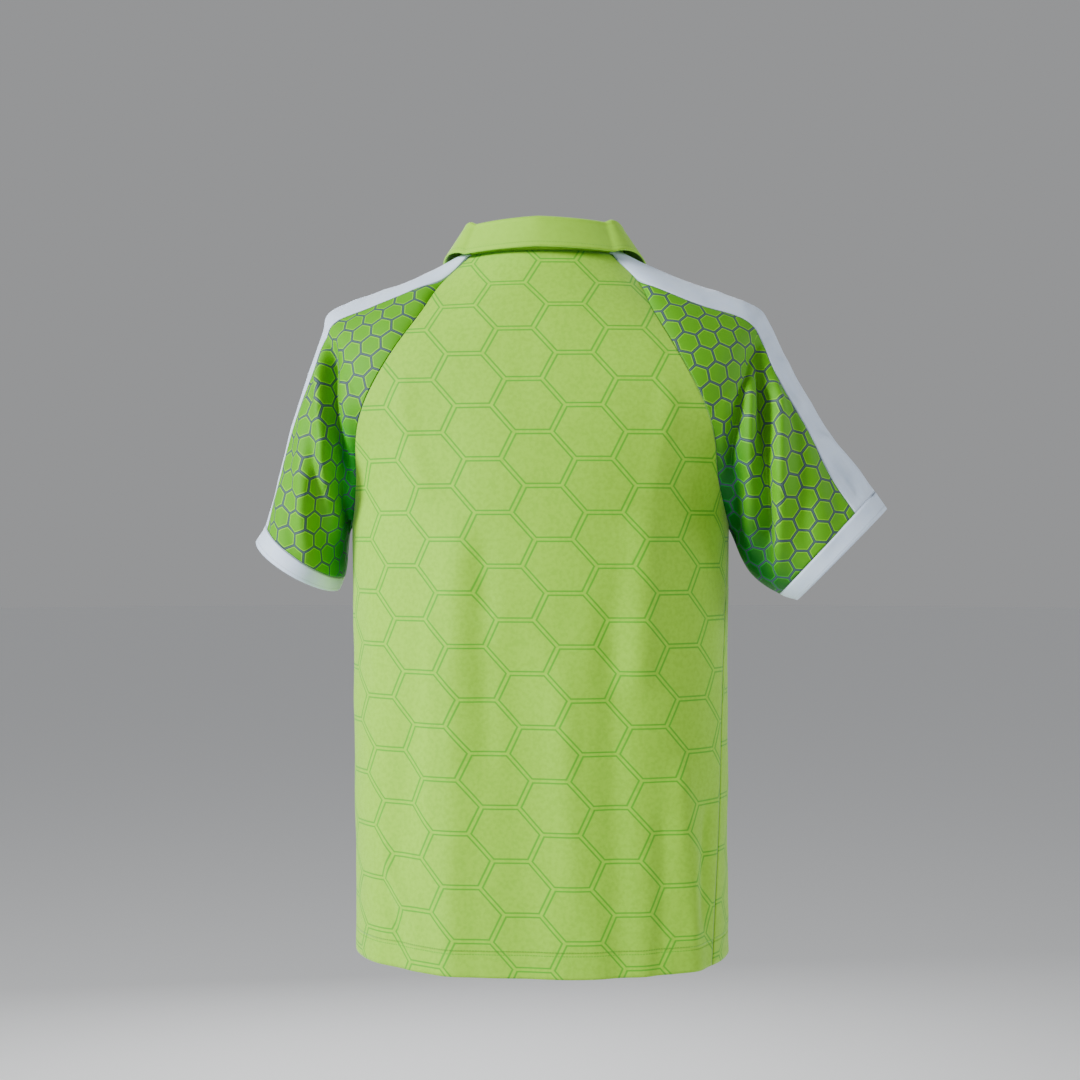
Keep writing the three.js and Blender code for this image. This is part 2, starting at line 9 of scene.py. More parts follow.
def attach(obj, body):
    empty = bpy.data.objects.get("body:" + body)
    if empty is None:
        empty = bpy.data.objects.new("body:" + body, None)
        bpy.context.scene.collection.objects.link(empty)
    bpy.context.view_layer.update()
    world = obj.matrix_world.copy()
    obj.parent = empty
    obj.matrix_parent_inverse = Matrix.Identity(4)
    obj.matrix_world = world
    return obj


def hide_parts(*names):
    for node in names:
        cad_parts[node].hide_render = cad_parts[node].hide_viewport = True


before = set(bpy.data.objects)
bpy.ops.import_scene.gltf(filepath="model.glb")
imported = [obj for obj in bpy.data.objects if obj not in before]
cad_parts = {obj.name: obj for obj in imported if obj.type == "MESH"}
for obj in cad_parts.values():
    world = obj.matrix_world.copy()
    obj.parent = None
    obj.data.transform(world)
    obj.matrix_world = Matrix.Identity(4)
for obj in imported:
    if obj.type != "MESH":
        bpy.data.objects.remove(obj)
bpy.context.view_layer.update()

# A football jersey, worn and hollow. Sizes are in millimetres until a piece's mesh is made.
# The front faces -Y and the wearer's left is at +X.
MM = 0.001

# Thickness of the cloth
CLOTH = 1.1
COLLAR_CLOTH = 1.5

# Edges of the stripe, measured from the ridge of the sleeve
STRIPE_BACK = 44
STRIPE_FRONT = 34

# Folds fade out this near a raglan seam, a side seam (as a share of half a row) and the stripe
SEAM_FADE = 26
SIDE_FADE = 0.12
EDGE_FADE = 14

# Steps along half a row of the body or of a sleeve
FINE = 72

# Points nearer than this are one point
SAME_POINT = 0.01

# Places on the pieces' rows that meet at the underarm, the cuff seam and the cuff's edge
UNDERARM = 8
CUFF_SEAM = 10
CUFF_EDGE = 11

SIGN = {"left": 1, "right": -1}


def table(columns, rows):
    """Rows of numbers as a list of records with these column names."""
    names = columns.split()
    return [dict(zip(names, row)) for row in rows]


# Level rings of the body from the underarm to the hem
RINGS = table("z half back front square mid seam_left seam_right", [
    [-262, 187, 117, 124, 2.2, 4, 9, 12],
    [-330, 186, 116, 123, 2.3, 4, 8, 26],
    [-430, 185, 114, 121, 2.4, 3.5, 8, 38],
    [-540, 184.5, 113, 120, 2.4, 3, 8, 44],
    [-620, 184, 115, 121, 2.4, 2.5, 8, 52],
    [-682, 184.5, 118, 123, 2.4, 2, 8, 60],
])
HEM = UNDERARM + len(RINGS) - 1
HEM_DIP = {"back": 6, "front": 3}

# Raglan seams from the neck down to the last row above the underarm
BACK_RAGLAN = table("x y z", [
    [67, 38, 1],
    [97, 46, -29],
    [112, 68, -58],
    [133, 88, -93],
    [151, 94, -125],
    [165, 88, -154],
    [173, 73, -182],
    [177, 48, -222],
])
FRONT_RAGLAN = table("x y z", [
    [70, -45, -22],
    [98, -58, -50],
    [116, -80, -78],
    [134, -96, -108],
    [150, -100, -137],
    [163, -94, -164],
    [172, -78, -190],
    [178, -50, -226],
])

# Middle of the back and of the front beside each raglan row
BACK_MIDDLE = table("z depth square", [
    [1, 62, 2],
    [-29, 76, 2.1],
    [-58, 91, 2.15],
    [-93, 103, 2.2],
    [-125, 110, 2.25],
    [-154, 114, 2.3],
    [-182, 116, 2.28],
    [-222, 117, 2.25],
    [-262, 117, 2.2],
])
FRONT_MIDDLE = table("z depth square", [
    [-86, 90, 2],
    [-108, 104, 2.1],
    [-128, 112, 2.15],
    [-150, 118, 2.2],
    [-172, 122, 2.25],
    [-194, 124, 2.3],
    [-217, 125, 2.28],
    [-241, 125, 2.25],
    [-262, 124, 2.2],
])

# Top line of each sleeve from the neck over the shoulder point to the cuff's edge
TOP_COLUMNS = "x y z depth droop square under turn"
TOP_LINE = {
    "left": table(TOP_COLUMNS, [
        [82, -2, -1, 42, 0, 2, 2, 0],
        [106, -3, -8, 52, 0, 1.7, 2, 12],
        [136, -4, -19, 74, 0, 1.55, 2, 14],
        [171, -4, -31, 92, 0, 1.5, 2, 12],
        [215, -4, -46, 97, 0, 1.5, 1.9, 8],
        [223, -3, -68, 92, 0, 1.6, 1.7, 4],
        [232, -2, -101, 88, 0, 1.9, 1.5, 16],
        [245, -1, -141, 84, 0, 2, 1.4, 11],
        [256, 0, -184, 80, 0, 2, 1.4, 4],
        [267, 0, -222, 74, 3, 2, 1.6, -2],
        [279, 0, -259, 66, 5, 2, 2, -2],
        [290, 0, -277, 64, 6, 2, 2, -2],
    ]),
    "right": table(TOP_COLUMNS, [
        [-82, -2, -1, 42, 0, 2, 2, 0],
        [-106, -3, -9, 52, 0, 1.7, 2, 14],
        [-136, -4, -20, 74, 0, 1.55, 2, 21],
        [-171, -4, -33, 92, 0, 1.5, 2, 20],
        [-211, -4, -49, 96, 0, 1.5, 1.9, 8],
        [-224, -3, -67, 90, 0, 1.6, 1.7, 3],
        [-236, -2, -94, 82, 0, 1.8, 1.5, 10],
        [-253, -1, -126, 74, 0, 2, 1.4, 12],
        [-276, 0, -165, 66, 0, 2, 1.4, 12],
        [-300, 0, -200, 56, -1, 2, 1.6, 12],
        [-325, 0, -231, 47, -2, 2, 2, 10],
        [-337, 0, -248, 45, -2, 2, 2, 10],
    ]),
}

# Lower side of each sleeve from the underarm to the cuff's edge
UNDER_LINE = {
    "left": table("x y z", [
        [198, 7, -287],
        [204, 5, -315],
        [209, 4, -328],
    ]),
    "right": table("x y z", [
        [-206, 7, -310],
        [-234, 5, -330],
        [-251, 4, -336],
    ]),
}

# Straight run of each sleeve from the shoulder point to the cuff, which its print follows
SLEEVE_RUN = {
    "left": (Vector((222, -3, -57)), Vector((290, 0, -277))),
    "right": (Vector((-217, -3, -58)), Vector((-337, 0, -248))),
}

# Collar sections from the middle of the back to the front opening
COLLAR_SECTIONS = table("place stand lean reach drop swing", [
    [0, 30, -6, 17, 28, 0],
    [0.2, 28, -9, 20, 28, 0],
    [0.4, 26, -7, 25, 29, 0],
    [0.6, 25, -4, 28, 32, 2],
    [0.8, 15, -1, 33, 42, 14],
    [1, 7, 2, 40, 34, 48],
])
FOLD_RADIUS = 2.6
STAND_STEPS = 8
FOLD_STEPS = 10
FALL_STEPS = 14
# The collar stops this short of the middle of the front and stands this high over the neckline.
# Its direction is taken over this share of the neckline on either side.
COLLAR_END = 2
COLLAR_LIFT = 0.45
COLLAR_RUN = 0.02

# Folds: which face (1 back, -1 front), upper end, lower end, half the width, height (a trough is
# below zero), how far the middle of the line bows sideways, and how sharp the fold is
FOLD_COLUMNS = "face x z low_x low_z width height bow sharp"
BODY_FOLDS = table(FOLD_COLUMNS, [
    [1, 70, -230, 78, -690, 20, 3.6, 4, 0],
    [1, -104, -230, -96, -440, 16, 3.2, -3, 0],
    [1, -76, -300, -84, -690, 17, -2.9, 4, 0],
    [1, 20, -330, 8, -690, 24, -2.2, -5, 0],
    [1, 120, -420, 132, -690, 15, -2.6, 3, 0],
    [1, -138, -470, -152, -690, 12, 3.2, 2, 0],
    [1, 46, -250, 40, -520, 12, -1.5, 3, 0],
    [1, 98, -300, 104, -610, 10, 1.4, -3, 0],
    [1, -30, -380, -44, -640, 14, 1.6, 4, 0],
    [1, -120, -520, -118, -690, 9, -1.8, -2, 0],
    [1, 150, -560, 122, -640, 7, 1.5, 3, 0.4],
    [1, 152, -590, 128, -666, 6, -1.4, 2, 0.4],
    [1, 138, -608, 108, -652, 6, 1.2, -2, 0.4],
    [1, 160, -300, 150, -420, 9, 1.3, 3, 0],
    [1, -164, -520, -158, -660, 7, -2.6, 3, 0.5],
    [1, -150, -560, -146, -670, 6, 1.8, -2, 0.4],
    [1, 128, -118, 96, -250, 12, 1.6, 6, 0],
    [1, -128, -118, -104, -250, 12, 1.5, -6, 0],
    [-1, -64, -190, -92, -690, 22, 3.8, 4, 0],
    [-1, 78, -190, 98, -690, 20, 3.4, -4, 0],
    [-1, 4, -260, 16, -690, 24, -3, 4, 0],
    [-1, -140, -300, -146, -690, 15, -2.6, 3, 0],
    [-1, 146, -340, 140, -690, 15, 2.8, -3, 0],
    [-1, -30, -300, -40, -560, 12, -1.6, 3, 0],
    [-1, 48, -360, 56, -640, 12, 1.5, -4, 0],
    [-1, 120, -580, 150, -650, 7, 1.5, 3, 0.4],
    [-1, -118, -560, -150, -640, 7, -1.5, 3, 0.4],
])
SLEEVE_FOLDS = {
    "left": table(FOLD_COLUMNS, [
        [1, 206, -70, 184, -236, 7, -15, 0, 0.3],
        [1, 214, -80, 200, -286, 7, 8.5, 2, 0.2],
        [1, 221, -88, 216, -160, 5, -3, 1, 0.3],
        [1, 229, -100, 226, -312, 8, 3, 2, 0],
        [1, 194, -200, 190, -320, 6, -7, -1, 0.3],
        [1, 212, -150, 211, -312, 6, -5, 2, 0.1],
        [1, 240, -160, 236, -310, 8, -3.6, 3, 0],
        [1, 254, -200, 250, -312, 8, 2.2, 3, 0],
        [-1, 204, -84, 188, -225, 11, -8, 3, 0],
        [-1, 222, -100, 212, -270, 11, 4.5, 3, 0],
        [-1, 244, -170, 236, -300, 8, -2.6, 3, 0.2],
        [-1, 196, -190, 192, -310, 7, -4, 2, 0.2],
    ]),
    "right": table(FOLD_COLUMNS, [
        [1, -210, -80, -176, -230, 7, -12, 0, 0.3],
        [1, -203, -92, -206, -300, 7, 7, 0, 0],
        [1, -216, -78, -219, -320, 9, -16, 0, 0.2],
        [1, -229, -84, -233, -330, 7, 8, 0, 0.3],
        [1, -244, -118, -262, -312, 8, -2.6, 3, 0.1],
        [1, -262, -170, -284, -310, 9, 2, 4, 0],
        [1, -282, -214, -300, -290, 6, -1.8, 2, 0.2],
        [1, -186, -196, -192, -290, 8, -3, 0, 0.1],
        [-1, -206, -84, -214, -300, 10, -6, -3, 0.2],
        [-1, -226, -96, -246, -300, 11, 4, -3, 0.2],
        [-1, -256, -170, -276, -300, 9, -2.4, -3, 0.2],
    ]),
}
STRIPE_FOLDS = {
    "left": table(FOLD_COLUMNS, [
        [1, 150, -20, 200, -46, 6, 1.2, 0, 0],
        [1, 246, -150, 262, -240, 6, 1.2, 2, 0],
    ]),
    "right": table(FOLD_COLUMNS, [
        [1, -262, -172, -318, -236, 5, 5, -5, 0.3],
        [1, -270, -196, -312, -240, 5, -4, -3, 0.2],
        [1, -232, -96, -258, -158, 5, 2.6, 2, 0.1],
        [1, -160, -32, -205, -52, 6, 1.2, 0, 0],
    ]),
}
# Share of its length over which a fold starts and ends, and how many widths it spreads sideways
FOLD_ENDS = 0.22
FOLD_SPREAD = 3
# Power of a round fold's section and of a sharp one's
ROUND_FOLD = 2
SHARP_FOLD = 1.1
# The body's folds are this much higher than in the table, and no fold passes the largest height
FOLD_DEPTH = 1.4
LARGEST_OF_ALL = 15
# Sleeve folds fade out before this place on the rows, over this many rows
CALM_PLACE = CUFF_SEAM + 0.6
CALM_ROWS = 1.4
# Uneven cloth: size and height of its coarse and of its fine bumps
BODY_CRUMPLE = ((60, 1.1), (22, 0.45))
SLEEVE_CRUMPLE = ((34, 0.9), (13, 0.3))


def clamp(value, low, high):
    return min(high, max(low, value))


def mix(a, b, t):
    return a + (b - a) * t


def smooth(t):
    s = clamp(t, 0, 1)
    return s * s * (3 - 2 * s)


def steps(first, last, count):
    return [mix(first, last, i / count) for i in range(count + 1)]


def along(rows, place):
    """Value of every column of a table at a place between its rows, on a smooth curve."""
    last = len(rows) - 1
    i = int(clamp(math.floor(place), 0, last - 1))
    t = place - i
    before = rows[max(i - 1, 0)]
    after = rows[min(i + 2, last)]
    result = {}
    for name, a in rows[i].items():
        b = rows[i + 1][name]
        start = (b - before[name]) / 2 if i > 0 else b - a
        end = (after[name] - a) / 2 if i + 2 <= last else b - a
        cubic = 2 * a - 2 * b + start + end
        square = -3 * a + 3 * b - 2 * start - end
        result[name] = ((cubic * t + square) * t + start) * t + a
    return result


def spot(row):
    return Vector((row["x"], row["y"], row["z"]))


class Line:
    """A line of points, with the point at any length along it."""

    def __init__(self, points):
        self.points = points
        self.lengths = [0.0]
        for before, after in zip(points, points[1:]):
            self.lengths.append(self.lengths[-1] + (after - before).length)
        self.total = self.lengths[-1]

    def between(self, values, length):
        """A value that goes with each point, at a length along the line."""
        wanted = clamp(length, 0, self.total)
        i = int(clamp(bisect_left(self.lengths, wanted), 1, len(self.points) - 1))
        step = self.lengths[i] - self.lengths[i - 1]
        t = (wanted - self.lengths[i - 1]) / step if step > 0 else 0
        return values[i - 1] + (values[i] - values[i - 1]) * t

    def at(self, length):
        return self.between(self.points, length)


def fold_height(folds, face, x, z):
    """Height of the folds at a point seen from behind or from the front."""
    height = 0.0
    for fold in folds:
        if fold["face"] != face:
            continue
        run_x = fold["low_x"] - fold["x"]
        run_z = fold["low_z"] - fold["z"]
        from_x = x - fold["x"]
        from_z = z - fold["z"]
        square = run_x * run_x + run_z * run_z
        t = (from_x * run_x + from_z * run_z) / square
        if t <= 0 or t >= 1 and fold["low_z"] > RINGS[-1]["z"]:
            continue
        away = (from_x * run_z - from_z * run_x) / math.sqrt(square)
        away = abs(away + fold["bow"] * 4 * t * (1 - t))
        if away > fold["width"] * FOLD_SPREAD:
            continue
        ends = smooth(t / FOLD_ENDS)
        if fold["low_z"] > RINGS[-1]["z"]:
            ends *= smooth((1 - t) / FOLD_ENDS)
        power = mix(ROUND_FOLD, SHARP_FOLD, fold["sharp"])
        height += fold["height"] * math.exp(-((away / fold["width"]) ** power)) * ends
    return clamp(height, -LARGEST_OF_ALL, LARGEST_OF_ALL)


def crumple(point, bumps):
    """Small unevenness of the cloth, the same each time."""
    return sum(height * noise.noise(point / size) for size, height in bumps)


def ring_point(ring, angle, sign):
    """Point of a body ring by its angle, from -90 degrees at the front to 90 at the back."""
    power = 2 / ring["square"]
    depth = ring["back"] if angle > 0 else -ring["front"]
    x = ring["half"] * max(math.cos(angle), 0) ** power
    y = depth * abs(math.sin(angle)) ** power
    return Vector((ring["mid"] + sign * x, y, ring["z"]))


def ring_angle(ring, y):
    depth = ring["back"] if y > 0 else ring["front"]
    return math.copysign(math.asin(clamp(abs(y) / depth, 0, 1) ** (ring["square"] / 2)), y)


def mid_at(place):
    return RINGS[0]["mid"] * clamp(place, 0, UNDERARM) / UNDERARM


def underarm_point(side):
    ring = RINGS[0]
    return ring_point(ring, ring_angle(ring, ring["seam_" + side]), SIGN[side])


def raglan_point(seam, side, place):
    rows = [
        {"x": SIGN[side] * row["x"] + mid_at(i), "y": row["y"], "z": row["z"]}
        for i, row in enumerate(seam)
    ]
    under = underarm_point(side)
    rows.append({"x": under.x, "y": under.y, "z": under.z})
    return spot(along(rows, place))


def half_row(face, side, place):
    """Half of a row of the body, from its middle to the seam on one side."""
    sign = SIGN[side]
    middle = math.pi / 2 * face
    if place >= UNDERARM:
        ring = along(RINGS, place - UNDERARM)
        end = ring_angle(ring, ring["seam_" + side])
        low = clamp((place - UNDERARM) / (len(RINGS) - 1), 0, 1)
        points = []
        for i in range(FINE + 1):
            angle = mix(middle, end, i / FINE)
            p = ring_point(ring, angle, sign)
            dip = HEM_DIP["back"] if angle > 0 else HEM_DIP["front"]
            p.z -= dip * low ** 3 * abs(math.sin(angle))
            points.append(p)
        return Line(points)
    seam = raglan_point(BACK_RAGLAN if face > 0 else FRONT_RAGLAN, side, place)
    back = along(BACK_MIDDLE, place)
    front = along(FRONT_MIDDLE, place)
    own = back if face > 0 else front
    mid = mid_at(place)
    ring = {"back": back["depth"], "front": front["depth"], "square": own["square"]}
    ring.update(mid=mid, z=own["z"], half=1)
    end = ring_angle(ring, seam.y)
    ring["half"] = abs(seam.x - mid) / math.cos(end) ** (2 / ring["square"])
    points = [ring_point(ring, mix(middle, end, i / FINE), sign) for i in range(FINE + 1)]
    level = Line(points)
    bend = 2 if face > 0 else 1 + smooth(place / 3)
    for p, length in zip(points, level.lengths):
        p.z = mix(own["z"], seam.z, (length / level.total) ** bend)
    return Line(points)


def sleeve_row(side, place):
    """A row of a sleeve: a bowed line over the top from the back seam to the front seam, and
    below the underarm a closed ring."""
    top = along(TOP_LINE[side], place)
    peak = spot(top)
    if place < UNDERARM:
        back = raglan_point(BACK_RAGLAN, side, place)
        front = raglan_point(FRONT_RAGLAN, side, place)
    else:
        under = underarm_point(side)
        rows = [{"x": under.x, "y": under.y, "z": under.z}] + UNDER_LINE[side]
        back = spot(along(rows, place - UNDERARM))
        front = back.copy()
    base = (back + front) / 2
    span = back - front
    half_span = span.length / 2
    depth = max(top["depth"], half_span)
    opening = math.acos(clamp(half_span / depth, 0, 1) ** (top["under"] / 2))

    def bow(share, square):
        return math.copysign(abs(share) ** (2 / square), share)

    up = peak - base
    reach = up.length / (1 + bow(math.sin(opening), top["under"]))
    up.normalize()
    across = span.normalized() if half_span > 1 else Vector((0, depth, -top["droop"])).normalized()
    centre = peak - up * reach
    points = []
    for i in range(2 * FINE + 1):
        angle = mix(-opening, math.pi + opening, i / (2 * FINE))
        square = top["square"] if math.sin(angle) > 0 else top["under"]
        p = centre + across * depth * bow(math.cos(angle), square)
        points.append(p + up * reach * bow(math.sin(angle), square))
    row = Line(points)
    row.centre = centre
    row.ridge = row.lengths[FINE]
    shoulder, end = SLEEVE_RUN[side]
    run = (end - shoulder).normalized()
    row.round = [0.0]
    for before, after in zip(points, points[1:]):
        step = after - before
        row.round.append(row.round[-1] + (step - run * step.dot(run)).length)
    row.round = [length - row.round[FINE] for length in row.round]
    if place <= 0:
        row.edges = [0, 0, row.total, row.total]
    else:
        back_edge = clamp(row.ridge - top["turn"] - STRIPE_BACK, 0, row.total)
        front_edge = clamp(row.ridge + STRIPE_FRONT, 0, row.total)
        row.edges = [0, back_edge, front_edge, row.total]
    return row


def sleeve_point(side, row, length, place):
    p = row.at(length)
    face = 1 if length < row.ridge else -1
    to_seam = smooth(min(length, row.total - length) / SEAM_FADE) if place < UNDERARM else 1
    to_stripe = min(abs(length - row.edges[1]), abs(length - row.edges[2]))
    on_stripe = row.edges[1] < length < row.edges[2]
    folds = STRIPE_FOLDS if on_stripe else SLEEVE_FOLDS
    at_cuff = smooth((CALM_PLACE - place) / CALM_ROWS)
    height = fold_height(folds[side], face, p.x, p.z)
    height *= to_seam * smooth(to_stripe / EDGE_FADE) * at_cuff
    height += crumple(p, SLEEVE_CRUMPLE) * to_seam * at_cuff
    out = (p - row.centre).normalized()
    return p + out * height


def cloth_piece(name, spots, flip, ring=False):
    """A sheet on rows of (point, place on the cloth, distances to its edges). A ring's sides and
    a first row that is one point are merged."""
    rows = len(spots) - 1
    columns = len(spots[0]) - 1
    cloth = bmesh.new()
    bmesh.ops.create_grid(cloth, x_segments=columns, y_segments=rows, size=1)
    weave = cloth.loops.layers.uv.new("cloth")
    edges = cloth.loops.layers.uv.new("edges")
    for corner in (loop for face in cloth.faces for loop in face.loops):
        i = round((1 - corner.vert.co.y) / 2 * rows)
        j = round((corner.vert.co.x + 1) / 2 * columns)
        corner[weave].uv = spots[i][j][1] * MM
        corner[edges].uv = spots[i][j][2] * MM
    for vertex in cloth.verts:
        i = round((1 - vertex.co.y) / 2 * rows)
        j = round((vertex.co.x + 1) / 2 * columns)
        vertex.co = spots[i][j][0] * MM
    if ring or (spots[0][0][0] - spots[0][1][0]).length < SAME_POINT:
        bmesh.ops.remove_doubles(cloth, verts=cloth.verts[:], dist=SAME_POINT * MM)
    if not flip:
        bmesh.ops.reverse_faces(cloth, faces=cloth.faces[:])
    for face in cloth.faces:
        face.smooth = True
    mesh = bpy.data.meshes.new(name)
    cloth.to_mesh(mesh)
    cloth.free()
    piece = bpy.data.objects.new(name, mesh)
    bpy.context.scene.collection.objects.link(piece)
    return piece


def lay_flat(piece, top, low):
    """Lays the cloth out flat, so that its print isn't stretched, with the line from top to low
    along the stripe's edge straight down, in the map that the print follows."""
    bpy.context.view_layer.objects.active = piece
    piece.data.uv_layers.active = piece.data.uv_layers["cloth"]
    bpy.ops.object.mode_set(mode="EDIT")
    bpy.ops.mesh.select_all(action="SELECT")
    bpy.ops.uv.unwrap(method="ANGLE_BASED", margin=0)
    bpy.ops.object.mode_set(mode="OBJECT")
    mesh = piece.data
    flat = mesh.uv_layers["cloth"].data
    ends = {}
    for loop in mesh.loops:
        for name, end in (("top", top), ("low", low)):
            away = (mesh.vertices[loop.vertex_index].co - end * MM).length
            if name not in ends or away < ends[name][0]:
                ends[name] = (away, flat[loop.index].uv.copy())
    laid = 0.0
    for face in mesh.polygons:
        corners = list(face.loop_indices)
        turns = [flat[a].uv.cross(flat[b].uv) for a, b in zip(corners, corners[1:] + corners[:1])]
        laid += abs(sum(turns)) / 2
    size = math.sqrt(sum(face.area for face in mesh.polygons) / laid)
    down = (ends["low"][1] - ends["top"][1]).normalized()
    right = Vector((-down.y, down.x))
    for corner in flat:
        spread = (corner.uv - ends["low"][1]) * size
        corner.uv = (spread.dot(right), -spread.dot(down))


def give_wall(piece, thickness):
    wall = piece.modifiers.new("wall", "SOLIDIFY")
    wall.thickness = thickness * MM
    wall.offset = -1
    wall.use_even_offset = False
    wall.use_rim = True


# Pieces of the body
BODY_COLUMNS = 136
RAGLAN_ROWS = 66
SKIRT_ROWS = 108


def body_spots(face):
    places = steps(0, UNDERARM, RAGLAN_ROWS) + steps(UNDERARM, HEM, SKIRT_ROWS)[1:]
    middle = [half_row(face, "left", place).points[0] for place in places]
    down = Line(middle)
    spots = []
    for place, length in zip(places, down.lengths):
        sides = {side: half_row(face, side, place) for side in SIGN}
        above_hem = down.total - length
        row = []
        for across in steps(-1, 1, BODY_COLUMNS):
            side = "left" if across > 0 else "right"
            half = sides[side]
            far = abs(across)
            p = half.at(half.total * far)
            to_side = half.total * (1 - far)
            to_seam = smooth(to_side / SEAM_FADE) if place < UNDERARM else 1
            height = FOLD_DEPTH * fold_height(BODY_FOLDS, face, p.x, p.z)
            height += crumple(p, BODY_CRUMPLE)
            height *= to_seam * smooth((1 - far) / SIDE_FADE)
            out = Vector((p.x / RINGS[0]["half"] ** 2, p.y / RINGS[0]["back"] ** 2, 0))
            weave = Vector((SIGN[side] * half.total * far, above_hem))
            row.append((p + out.normalized() * height, weave, Vector((to_side, above_hem))))
        spots.append(row)
    return spots


# Pieces of the sleeves
SLEEVE_ROWS = 110
SLEEVE_COLUMNS = 56
STRIPE_COLUMNS = 30
CUFF_ROWS = 8
SLEEVE_BACK, STRIPE, SLEEVE_FRONT = range(3)

# Steps in the search for the place where a piece starts, and the width that it has there
PLACE_STEP = 0.05
FIRST_WIDTH = 0.3


def first_place(side, part):
    """Where the sleeve's back or front starts in a point beside the stripe."""
    place = 0.0
    while True:
        edges = sleeve_row(side, place + PLACE_STEP).edges
        if edges[part + 1] - edges[part] > FIRST_WIDTH:
            return place
        place += PLACE_STEP


def sleeve_spots(side, part):
    start = 0 if part == STRIPE else first_place(side, part)
    places = steps(start, CUFF_SEAM, SLEEVE_ROWS)
    columns = STRIPE_COLUMNS if part == STRIPE else SLEEVE_COLUMNS
    shoulder, end = SLEEVE_RUN[side]
    run = (end - shoulder).normalized()
    sleeve = [sleeve_row(side, place) for place in places]
    ridge = Line([row.points[FINE] for row in sleeve])
    spots = []
    for place, row, down in zip(places, sleeve, ridge.lengths):
        to_cuff = ridge.total - down
        first, last = row.edges[part], row.edges[part + 1]
        line = []
        for length in steps(first, last, columns):
            p = sleeve_point(side, row, length, place)
            if part == STRIPE:
                weave = Vector((length - row.ridge, down))
            else:
                down_sleeve = (row.at(length) - shoulder).dot(run)
                weave = Vector((row.between(row.round, length), down_sleeve))
            sewn = min(length - first, last - length, to_cuff)
            from_under = min(length, row.total - length)
            line.append((p, weave, Vector((sewn, from_under))))
        spots.append(line)
    return spots


def cuff_spots(side):
    places = steps(CUFF_SEAM, CUFF_EDGE, CUFF_ROWS)
    sleeve = [sleeve_row(side, place) for place in places]
    ridge = Line([row.points[FINE] for row in sleeve])
    spots = []
    for place, row, down in zip(places, sleeve, ridge.lengths):
        a, b, c, d = row.edges
        lengths = steps(a, b, SLEEVE_COLUMNS) + steps(b, c, STRIPE_COLUMNS)[1:]
        lengths += steps(c, d, SLEEVE_COLUMNS)[1:]
        line = []
        for length in lengths:
            p = sleeve_point(side, row, length, place)
            weave = Vector((length, down))
            line.append((p, weave, Vector((down, ridge.total - down))))
        spots.append(line)
    return spots


# The collar
COLLAR_COLUMNS = 90


def neckline():
    """The neckline on the wearer's left, from the middle of the back to the middle of the front."""
    back = half_row(1, "left", 0)
    sleeve = sleeve_row("left", 0)
    front = half_row(-1, "left", 0)
    points = [back.at(length) for length in steps(0, back.total, FINE)]
    points += [sleeve.at(length) for length in steps(0, sleeve.total, FINE)[1:]]
    points += [front.at(length) for length in steps(front.total, 0, FINE)[1:]]
    return Line(points)


def collar_section(line, place):
    """Section of the collar on the wearer's left: up the stand, round the fold, down the fall."""
    size = along(COLLAR_SECTIONS, place * (len(COLLAR_SECTIONS) - 1))
    seam = line.at(min(line.total * place, line.total - COLLAR_END))
    after = line.at(line.total * min(place + COLLAR_RUN, 1))
    before = line.at(line.total * max(place - COLLAR_RUN, 0))
    run = after - before
    out = Vector((-run.y, run.x, 0)).normalized()
    back = Vector((-run.x, -run.y, 0)).normalized()
    foot = seam + Vector((0, 0, COLLAR_LIFT))
    crest = foot + out * size["lean"]
    crest.z += size["stand"]
    edge = crest + out * size["reach"] + back * size["swing"]
    edge.z -= size["drop"]
    points = [foot.lerp(crest, i / STAND_STEPS) for i in range(STAND_STEPS)]
    for i in range(FOLD_STEPS + 1):
        angle = math.pi * (1 - i / FOLD_STEPS)
        turned = crest + out * FOLD_RADIUS * (1 + math.cos(angle))
        turned.z += FOLD_RADIUS * math.sin(angle)
        points.append(turned)
    points += [turned.lerp(edge, i / FALL_STEPS) for i in range(1, FALL_STEPS + 1)]
    return points


def collar_spots():
    line = neckline()
    half = []
    for place in steps(0, 1, COLLAR_COLUMNS):
        section = Line(collar_section(line, place))
        to_end = line.total * (1 - place)
        half.append([
            (p, Vector((line.total * place, up)), Vector((to_end, section.total - up)))
            for p, up in zip(section.points, section.lengths)
        ])
    other = []
    for section in half[1:]:
        other.append([
            (Vector((-p.x, p.y, p.z)), Vector((-weave.x, weave.y)), edges)
            for p, weave, edges in section
        ])
    return other[::-1] + half


